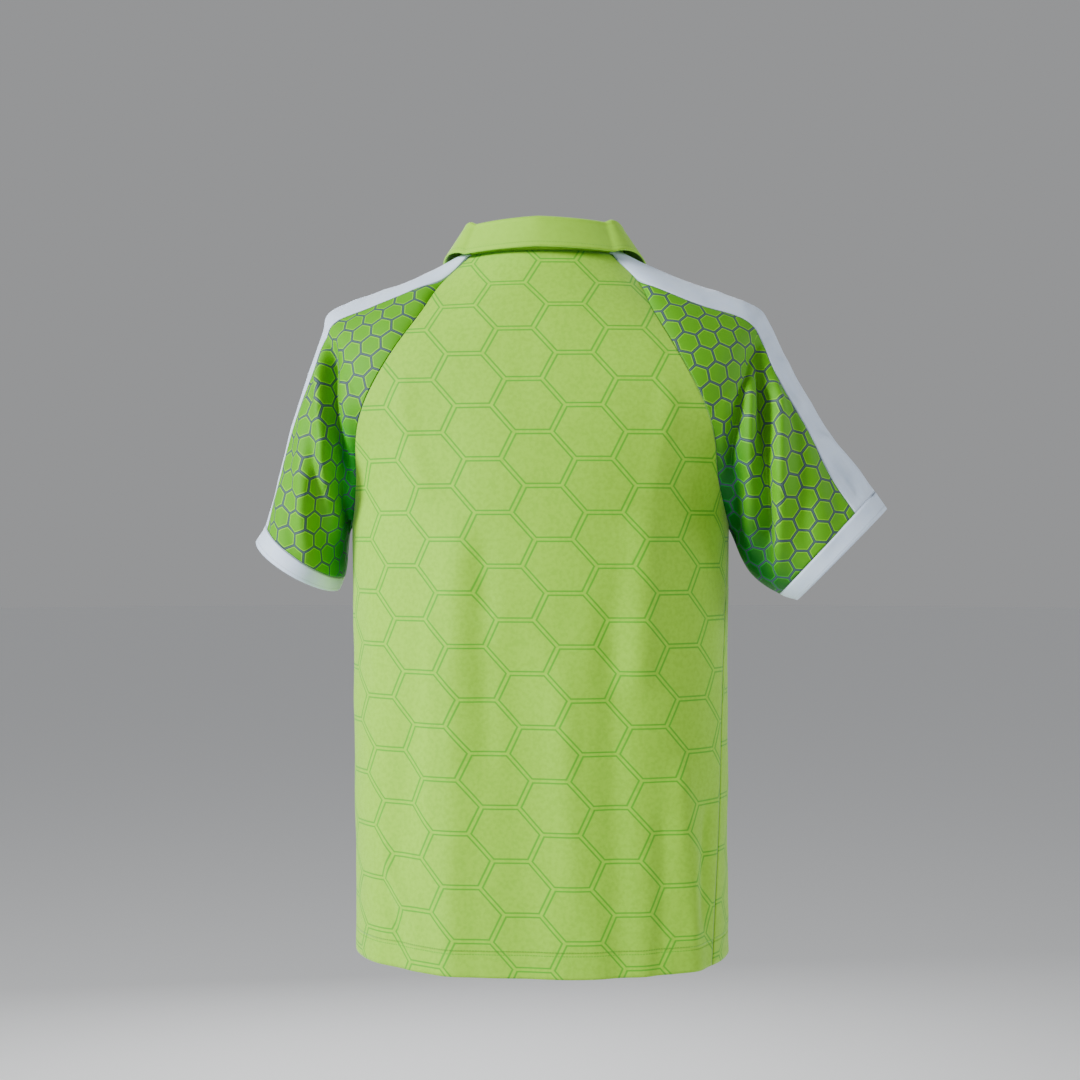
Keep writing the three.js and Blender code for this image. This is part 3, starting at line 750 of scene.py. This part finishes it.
# Finishes
class Amount:
    """A number that changes over the cloth, with sums written as plain arithmetic."""

    def __init__(self, finish, socket):
        self.finish = finish
        self.socket = socket

    def sum(self, operation, *values):
        node = self.finish.node("ShaderNodeMath", {"operation": operation}, dict(enumerate(values)))
        return Amount(self.finish, node.outputs[0])

    def __add__(self, other):
        return self.sum("ADD", self, other)

    def __radd__(self, other):
        return self.sum("ADD", other, self)

    def __sub__(self, other):
        return self.sum("SUBTRACT", self, other)

    def __rsub__(self, other):
        return self.sum("SUBTRACT", other, self)

    def __mul__(self, other):
        return self.sum("MULTIPLY", self, other)

    def __rmul__(self, other):
        return self.sum("MULTIPLY", other, self)

    def __truediv__(self, other):
        return self.sum("DIVIDE", self, other)

    def size(self):
        return self.sum("ABSOLUTE", self)

    def sine(self):
        return self.sum("SINE", self)

    def larger(self, other):
        return self.sum("MAXIMUM", self, other)

    def above(self, other):
        return self.sum("GREATER_THAN", self, other)

    def smaller(self, other):
        return self.sum("MINIMUM", self, other)

    def wrapped(self, half):
        return self.sum("WRAP", self, half, -half)

    def rise(self, low, high):
        """From 0 at low to 1 at high, softly."""
        inputs = {"Value": self, "From Min": low, "From Max": high}
        node = self.finish.node("ShaderNodeMapRange", {"interpolation_type": "SMOOTHSTEP"}, inputs)
        return Amount(self.finish, node.outputs[0])


class Finish:
    """A material, made from its nodes."""

    def __init__(self, name, roughness, sheen):
        self.material = bpy.data.materials.new(name)
        self.material.use_nodes = True
        self.tree = self.material.node_tree
        self.shader = self.tree.nodes["Principled BSDF"]
        self.shader.inputs["Roughness"].default_value = roughness
        self.shader.inputs["Sheen Weight"].default_value = sheen
        self.shader.inputs["Sheen Roughness"].default_value = 0.4
        self.shader.inputs["Specular IOR Level"].default_value = 0.25

    def put(self, socket, value):
        if isinstance(value, Amount):
            self.tree.links.new(value.socket, socket)
        elif isinstance(value, bpy.types.NodeSocket):
            self.tree.links.new(value, socket)
        else:
            socket.default_value = value

    def node(self, kind, settings=None, inputs=None):
        node = self.tree.nodes.new(kind)
        for name, value in (settings or {}).items():
            setattr(node, name, value)
        for name, value in (inputs or {}).items():
            self.put(node.inputs[name], value)
        return node

    def cloth_place(self, name):
        """The two numbers of a map of the cloth, in millimetres."""
        place = self.node("ShaderNodeUVMap", {"uv_map": name}).outputs[0]
        parts = self.node("ShaderNodeSeparateXYZ", inputs={0: place})
        return [Amount(self, parts.outputs[i]) / MM for i in range(2)]

    def object_place(self):
        """The three numbers of the place on the jersey, in millimetres."""
        place = self.node("ShaderNodeTexCoord").outputs["Object"]
        parts = self.node("ShaderNodeSeparateXYZ", inputs={0: place})
        return [Amount(self, parts.outputs[i]) / MM for i in range(3)]

    def grain(self, size, detail):
        """Uneven spots of about this size in metres, from 0 to 1."""
        place = self.node("ShaderNodeTexCoord").outputs["Object"]
        spots = self.node("ShaderNodeTexNoise", inputs={
            "Vector": place, "Scale": 1 / size, "Detail": detail, "Roughness": 0.5,
        })
        return Amount(self, spots.outputs[0])

    def blend(self, amount, first, second):
        """First colour where amount is 0, second where it is 1."""
        node = self.node("ShaderNodeMix", {"data_type": "RGBA"}, {0: amount, 6: first, 7: second})
        return node.outputs[2]

    def paint(self, shade):
        self.put(self.shader.inputs["Base Color"], shade)

    def relief(self, height):
        inputs = {"Strength": 1, "Distance": RELIEF, "Height": height}
        bump = self.node("ShaderNodeBump", inputs=inputs)
        self.put(self.shader.inputs["Normal"], bump.outputs[0])


def colour(red, green, blue):
    """A colour from its 0 to 255 screen values."""
    parts = [red / 255, green / 255, blue / 255]
    return [p / 12.92 if p <= 0.04045 else ((p + 0.055) / 1.055) ** 2.4 for p in parts] + [1]


HALF_FLAT = math.sqrt(3) / 2


def cell_edge(x, y):
    """Distance to the edge of the nearest six-sided cell of side 1."""
    def reach(across, up):
        across = across.wrapped(1.5).size()
        up = up.wrapped(HALF_FLAT).size()
        return up.larger(across * HALF_FLAT + up * 0.5)
    return HALF_FLAT - reach(x, y).smaller(reach(x - 1.5, y - HALF_FLAT))


def knit(x, y, gauge):
    """Height of the knitted loops."""
    wales = (x * (2 * math.pi / gauge)).sine()
    courses = (y * (2 * math.pi / (gauge * 0.8))).sine()
    return wales * courses


def stitches(x, away, middle):
    """A row of machine stitches at a distance from an edge."""
    thread = 1 - (away - middle).size().rise(0.35, 0.75)
    return thread * (x * (math.pi / STITCH)).sine().size().rise(0.15, 0.45)


# The knit's loops and the stitches along an edge, in millimetres, and the relief's depth in metres
LOOP = 1.3
STITCH = 2.6
RELIEF = 0.0005

LIME = colour(156, 218, 44)
LIME_LINE = colour(88, 180, 24)
LIME_DEEP = colour(134, 198, 30)
WHITE = colour(218, 235, 255)
WHITE_DEEP = colour(202, 223, 255)
WHITE_SEAM = colour(150, 160, 185)
CUFF_THREAD = colour(160, 170, 190)
GREEN_RIM = colour(128, 206, 0)
GREEN_HEART = colour(86, 166, 0)
GREEN_SEAM = colour(40, 90, 40)
CELL_DARK = colour(34, 40, 78)
CELL_THREAD = colour(96, 106, 132)

# Rim and heart of the printed emerald cells near the underarm. The right sleeve's pair is darker
# than the left's: that is painted shade, because that sleeve's inner side lies in shadow.
EMERALD_SHADED_ON_RIGHT = {
    "left": (colour(0, 190, 24), colour(0, 140, 16)),
    "right": (colour(0, 150, 30), colour(0, 98, 18)),
}

# The body's cells, in millimetres: a cell is two CELL_WIDE wide and leans by CELL_SKEW for each
# CELL_TALL of its height, which is the square root of 3 times CELL_TALL. CELL_INSET turns the
# distance from its edge into millimetres, and CELL_SHIFT moves the print right and up.
CELL_WIDE = 34.8
CELL_SKEW = 6.02
CELL_TALL = 29.04
CELL_INSET = 29.1
CELL_SHIFT = (8.9, 16.75)
# Each cell's double line: how far its middle lies from the cell's edge
LINE_INSET = 1.9

# The sleeve's cells: their side, and how far they are turned below and above the deep fold that
# runs from the shoulder to the underarm and hides the cloth between
SLEEVE_CELL = 11.78
PRINT_TURN = {"left": (22, -15.5), "right": (-22, -1.4)}
DEEP_FOLD = {"left": ((203, -74), (180, -222)), "right": ((-210, -80), (-172, -210))}

# Two rows of stitches and the upper edge of the turned-up cloth, above the hem
HEM_STITCHES = (21.5, 25)
HEM_TURN = 23
CUFF_STITCHES = 4
COLLAR_STITCHES = 5


def body_finish():
    finish = Finish("lime_knit", 0.62, 0.25)
    x, y = finish.cloth_place("cloth")
    to_seam, above_hem = finish.cloth_place("edges")
    up = (y + CELL_SHIFT[1]) / CELL_TALL
    edge = cell_edge((x + CELL_SHIFT[0] - up * CELL_SKEW) / CELL_WIDE, up) * CELL_INSET
    line = 1 - (edge - LINE_INSET).size().rise(0.3, 1.15)
    shade = finish.grain(0.004, 4)
    ground = finish.blend(shade.rise(0.35, 0.7) * 0.5, LIME, LIME_DEEP)
    print_on = finish.blend(line, ground, LIME_LINE)
    low_row, high_row = (stitches(x, above_hem, middle) for middle in HEM_STITCHES)
    hem = low_row.larger(high_row)
    groove = 1 - to_seam.rise(0.2, 1.6)
    fold = 1 - (above_hem - HEM_TURN).size().rise(0.5, 2.5)
    finish.paint(finish.blend((hem * 0.6).larger(groove * 0.35), print_on, LIME_LINE))
    height = knit(x, y, LOOP) * 0.14 + shade * 0.25 - groove * 1.2 - fold * 1.6 + hem * 0.3
    finish.relief(height)
    return finish.material


def sleeve_cells(x, y, turn):
    turn = math.radians(turn)
    across = (x * math.cos(turn) + y * math.sin(turn)) / SLEEVE_CELL
    up = (y * math.cos(turn) - x * math.sin(turn)) / SLEEVE_CELL
    return cell_edge(across, up) * SLEEVE_CELL


def sleeve_finish(side):
    finish = Finish("green_honeycomb_knit_" + side, 0.6, 0.02)
    x, y = finish.cloth_place("cloth")
    to_seam, from_under = finish.cloth_place("edges")
    low, high = (sleeve_cells(x, y, turn) for turn in PRINT_TURN[side])
    place = finish.object_place()
    start, end = DEEP_FOLD[side]
    beside = (place[0] - start[0]) * (end[1] - start[1])
    beside = beside - (place[2] - start[1]) * (end[0] - start[0])
    above = (beside * SIGN[side]).above(0) * place[1].above(0)
    edge = high * above + low * (1 - above)
    deep = (1 - from_under.rise(18, 76)) * (1 - y.rise(100, 175))
    # The right sleeve's emerald rim and heart carry painted shade; the left's are the print's own
    # colour.
    emerald_rim_shaded_on_right, emerald_heart_shaded_on_right = EMERALD_SHADED_ON_RIGHT[side]
    rim = finish.blend(deep, GREEN_RIM, emerald_rim_shaded_on_right)
    heart = finish.blend(deep, GREEN_HEART, emerald_heart_shaded_on_right)
    cell = finish.blend(edge.rise(1.6, 2.6), rim, heart)
    line = 1 - edge.rise(1.05, 1.5)
    thread = 1 - edge.rise(0.25, 0.6)
    dark = finish.blend(thread * 0.5, CELL_DARK, CELL_THREAD)
    printed = finish.blend(line * 0.92, cell, dark)
    groove = 1 - to_seam.rise(0.2, 1.6)
    finish.paint(finish.blend(groove * 0.4, printed, GREEN_SEAM))
    shade = finish.grain(0.006, 3)
    finish.relief(knit(x, y, LOOP) * 0.12 + shade * 0.1 - groove * 1.2)
    return finish.material


def white_finish(name):
    finish = Finish(name, 0.5, 0.2)
    x, y = finish.cloth_place("cloth")
    to_seam, free = finish.cloth_place("edges")
    shade = finish.grain(0.01, 3)
    ground = finish.blend(shade.rise(0.3, 0.8) * 0.4, WHITE, WHITE_DEEP)
    groove = 1 - to_seam.rise(0.2, 1.6)
    height = knit(x, y, LOOP) * 0.1 + shade * 0.1 - groove * 1.2
    if name == "cuff_knit":
        row = stitches(x, free, CUFF_STITCHES)
        height = height + row * 0.3
        ground = finish.blend(row * 0.25, ground, CUFF_THREAD)
    finish.paint(finish.blend(groove * 0.3, ground, WHITE_SEAM))
    finish.relief(height)
    return finish.material


def collar_finish():
    finish = Finish("collar_knit", 0.6, 0.25)
    x, y = finish.cloth_place("cloth")
    to_end, to_edge = finish.cloth_place("edges")
    shade = finish.grain(0.006, 3)
    row = stitches(x, to_edge, COLLAR_STITCHES).larger(stitches(y, to_end, COLLAR_STITCHES))
    ground = finish.blend(shade.rise(0.3, 0.8) * 0.3, LIME, LIME_DEEP)
    finish.paint(finish.blend(row * 0.35, ground, LIME_LINE))
    edge = 1 - to_edge.smaller(to_end).rise(0, 2)
    finish.relief(knit(x, y, LOOP * 1.1) * 0.15 + shade * 0.1 + row * 0.3 - edge * 0.5)
    return finish.material


def dress(piece, node, material, thickness=CLOTH):
    give_wall(piece, thickness)
    piece.data.materials.append(material)
    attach(piece, "root")
    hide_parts(node)


lime = body_finish()
honeycomb = {side: sleeve_finish(side) for side in SIGN}
white = white_finish("stripe_knit")
cuff_white = white_finish("cuff_knit")
collar_lime = collar_finish()

# What the cloth was cut to: widths and lengths in metres, and areas in square metres
BODY_CUT = {"back": (1, (0.53, 0.7), 0.277), "front": (-1, (0.56, 0.67), 0.309)}
SLEEVE_AREA = {
    "sleeve_back_left": 0.0323,
    "sleeve_front_left": 0.0353,
    "sleeve_back_right": 0.0356,
    "sleeve_front_right": 0.0401,
}

for node, (face, flat, area) in BODY_CUT.items():
    piece = cloth_piece(node + "_panel", body_spots(face), flip=face > 0)
    dress(piece, node, lime)

for side in SIGN:
    flip = side == "left"
    stripe = "shoulder_stripe_" + side
    for part, name in ((SLEEVE_BACK, "sleeve_back_"), (SLEEVE_FRONT, "sleeve_front_")):
        node = name + side
        spots = sleeve_spots(side, part)
        piece = cloth_piece(node + "_panel", spots, flip)
        beside_stripe = -1 if part == SLEEVE_BACK else 0
        lay_flat(piece, spots[SLEEVE_ROWS // 2][beside_stripe][0], spots[-1][beside_stripe][0])
        area = SLEEVE_AREA[node]
        dress(piece, node, honeycomb[side])
    piece = cloth_piece(stripe + "_panel", sleeve_spots(side, STRIPE), flip)
    dress(piece, stripe, white)
    cuff = "cuff_" + side
    piece = cloth_piece(cuff + "_band", cuff_spots(side), flip, ring=True)
    dress(piece, cuff, cuff_white)

piece = cloth_piece("collar_band", collar_spots(), flip=False)
dress(piece, "collar", collar_lime,
      COLLAR_CLOTH)

# The studio, in metres
LIGHT_AIM = Vector((0, 0, -0.3))
FLOOR = -1.45
FLOOR_RADIUS = 30
PALE = (0.96, 0.97, 0.98, 1)
AIR = (0.9, 0.91, 0.93, 1)
AIR_STRENGTH = 0.36
CAMERA_PLACE = (-0.1698, 1.7417, -0.278)
CAMERA_TURN = 185.7


def studio_light(name, place, size, power):
    lamp = bpy.data.lights.new(name, "AREA")
    lamp.shape = "DISK"
    lamp.size = size
    lamp.energy = power
    light = bpy.data.objects.new(name, lamp)
    light.location = place
    light.rotation_euler = (LIGHT_AIM - Vector(place)).to_track_quat("-Z", "Y").to_euler()
    bpy.context.scene.collection.objects.link(light)


studio_light("key", (2.3, 1.7, 0.9), 0.8, 155)
studio_light("side", (-2.5, -0.1, 0.5), 0.8, 26)
studio_light("front_fill", (0.6, -2.4, 0.4), 2.0, 40)

bpy.ops.mesh.primitive_circle_add(
    vertices=96, radius=FLOOR_RADIUS, fill_type="NGON", location=(0, 0, FLOOR)
)
floor = bpy.context.object
floor.name = "studio_floor"
pale = bpy.data.materials.new("pale_floor")
pale.use_nodes = True
pale_shader = pale.node_tree.nodes["Principled BSDF"]
pale_shader.inputs["Base Color"].default_value = PALE
pale_shader.inputs["Roughness"].default_value = 0.8
floor.data.materials.append(pale)

world = bpy.data.worlds.new("studio")
world.use_nodes = True
background = world.node_tree.nodes["Background"]
background.inputs["Color"].default_value = AIR
background.inputs["Strength"].default_value = AIR_STRENGTH
bpy.context.scene.world = world

camera = bpy.data.objects.new("camera", bpy.data.cameras.new("camera"))
camera.data.lens = 58.33
camera.data.sensor_width = 36
camera.location = CAMERA_PLACE
camera.rotation_euler = (math.radians(90), 0, math.radians(CAMERA_TURN))
bpy.context.scene.collection.objects.link(camera)
bpy.context.scene.camera = camera
